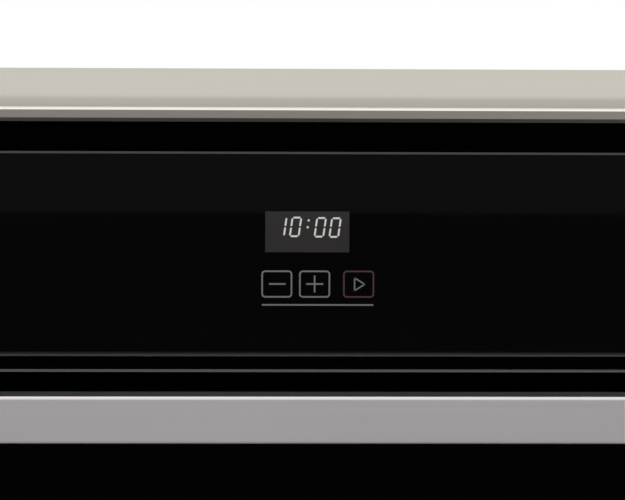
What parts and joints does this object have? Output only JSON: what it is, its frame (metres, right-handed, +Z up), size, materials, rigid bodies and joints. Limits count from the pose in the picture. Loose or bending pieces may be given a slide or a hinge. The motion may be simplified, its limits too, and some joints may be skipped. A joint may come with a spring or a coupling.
{
  "type": "built-in gas oven",
  "caption": "Built-in gas oven with a black glass front, slanted steel top trim, touch clock, flat bar handle, drop-down door on sprung hinges, tube burner, grill and racks.",
  "frame": {"origin": "middle of the case's underside, which rests on the cabinet's shelf", "axes": "+X to the right as the cook faces the front, -Y out of the front towards the cook, +Z up"},
  "size_m": [0.595, 0.614, 0.601],
  "materials": {
    "zinc_coated_sheet": "matt zinc coated sheet",
    "satin_steel": "satin brushed along its length",
    "black_frame": "black semi-matt enamel",
    "enamel": "dark grey glossy vitreous enamel with fine specks",
    "mineral_wool": "pressed mineral wool",
    "seal": "heat-proof braided seal",
    "black_glass": "polished, printed black on the back",
    "clear_glass": "polished",
    "door_profile": "dark powder coat",
    "hardened_steel": "bright zinc plate",
    "spring_steel": "oiled spring wire",
    "chromed_wire": "bright chrome plate",
    "stainless_tube": "satin",
    "heater_sheath": "dark heat-tinted sheath",
    "brass": "machined",
    "cast_aluminium": "die cast, bead blasted",
    "plated_spindle": "nickel plate",
    "copper_probe": "drawn copper",
    "ceramic": "glazed white ceramic",
    "knob_metal": "satin, spun face",
    "bezel": "gloss black",
    "housing_plastic": "fine grained black",
    "display": "smoked window over a lit display",
    "circuit_board": "green board with black parts"
  },
  "bodies": {
    "chassis": {"base_pan": "zinc_coated_sheet", "side_panel_left": "zinc_coated_sheet", "side_panel_right": "zinc_coated_sheet", "top_cover": "zinc_coated_sheet", "back_panel": "zinc_coated_sheet", "service_recess": "zinc_coated_sheet", "flue_duct": "zinc_coated_sheet", "injector_bracket": "zinc_coated_sheet", "burner_bracket": "zinc_coated_sheet", "hinge_receivers": "zinc_coated_sheet", "lamp_housing": "zinc_coated_sheet", "top_trim": "satin_steel", "bottom_trim": "satin_steel", "front_frame": "black_frame", "cavity_liner": "enamel", "cavity_floor_plate": "enamel", "insulation_jacket": "mineral_wool", "door_gasket": "seal", "control_glass": "black_glass", "lamp_bulb": "clear_glass", "lamp_lens": "clear_glass", "hinge_arms": "hardened_steel", "side_rack_left": "chromed_wire", "side_rack_right": "chromed_wire", "burner_tube": "stainless_tube", "grill_hanger": "stainless_tube", "grill_element": "heater_sheath", "burner_injector": "brass", "gas_inlet_elbow": "brass", "cable_gland": "brass", "gas_tap_body": "cast_aluminium", "gas_manifold_pipe": "cast_aluminium", "burner_supply_pipe": "cast_aluminium", "thermocouple": "copper_probe", "spark_electrode": "ceramic", "knob_bezels": "bezel", "control_housing": "housing_plastic", "grill_switch": "housing_plastic", "terminal_box": "housing_plastic", "spark_module": "housing_plastic", "display_module": "display", "timer_board": "circuit_board"},
    "door": {"door_outer_glass": "black_glass", "door_inner_glass": "clear_glass", "door_channel_left": "door_profile", "door_channel_right": "door_profile", "door_head_rail": "door_profile", "door_foot_rail": "door_profile", "handle_bar": "satin_steel", "handle_posts": "satin_steel", "hinge_housings": "zinc_coated_sheet", "hinge_springs": "spring_steel"},
    "spring_rods": {"spring_rods": "hardened_steel"},
    "tap_plug": {"tap_plug": "brass"},
    "gas_knob": {"gas_knob": "knob_metal", "tap_spindle": "plated_spindle"},
    "grill_knob": {"grill_knob": "knob_metal", "grill_spindle": "plated_spindle"},
    "wire_rack": {"wire_rack": "chromed_wire"},
    "baking_tray": {"baking_tray": "enamel"}
  },
  "joints": [
    {"name": "door_hinge", "type": "hinge", "parent": "chassis", "child": "door", "pos_m": [0, -0.283, 0.037], "axis": [1, 0, 0], "range_deg": [0, 90], "stiffness_Nm_per_rad": 5, "springref_deg": -20.05},
    {"name": "rod_slide", "type": "slide", "parent": "door", "child": "spring_rods", "axis": [0, 0, -1], "range_m": [0, 0.012], "deforming": ["hinge_springs"]},
    {"name": "tap_turn", "type": "hinge", "parent": "chassis", "child": "tap_plug", "pos_m": [-0.19, -0.266, 0.519], "axis": [0, -1, 0], "range_deg": [0, 240]},
    {"name": "tap_push", "type": "slide", "parent": "tap_plug", "child": "gas_knob", "axis": [0, 1, 0], "range_m": [0, 0.004], "stiffness_N_per_m": 1500, "springref_m": -0.002},
    {"name": "grill_turn", "type": "hinge", "parent": "chassis", "child": "grill_knob", "pos_m": [0.19, -0.266, 0.519], "axis": [0, -1, 0], "range_deg": [0, 180]},
    {"name": "rack_slide", "type": "slide", "parent": "chassis", "child": "wire_rack", "axis": [0, -1, 0], "range_m": [0, 0.2675]},
    {"name": "tray_slide", "type": "slide", "parent": "chassis", "child": "baking_tray", "axis": [0, -1, 0], "range_m": [0, 0.2045]}
  ],
  "couplings": [
    {"joint": "rod_slide", "follows": "door_hinge", "m_per_rad": 0.00763},
    {"joint": "rack_slide", "follows": "door_hinge", "m_per_rad": 0.17},
    {"joint": "tray_slide", "follows": "door_hinge", "m_per_rad": 0.13}
  ]
}
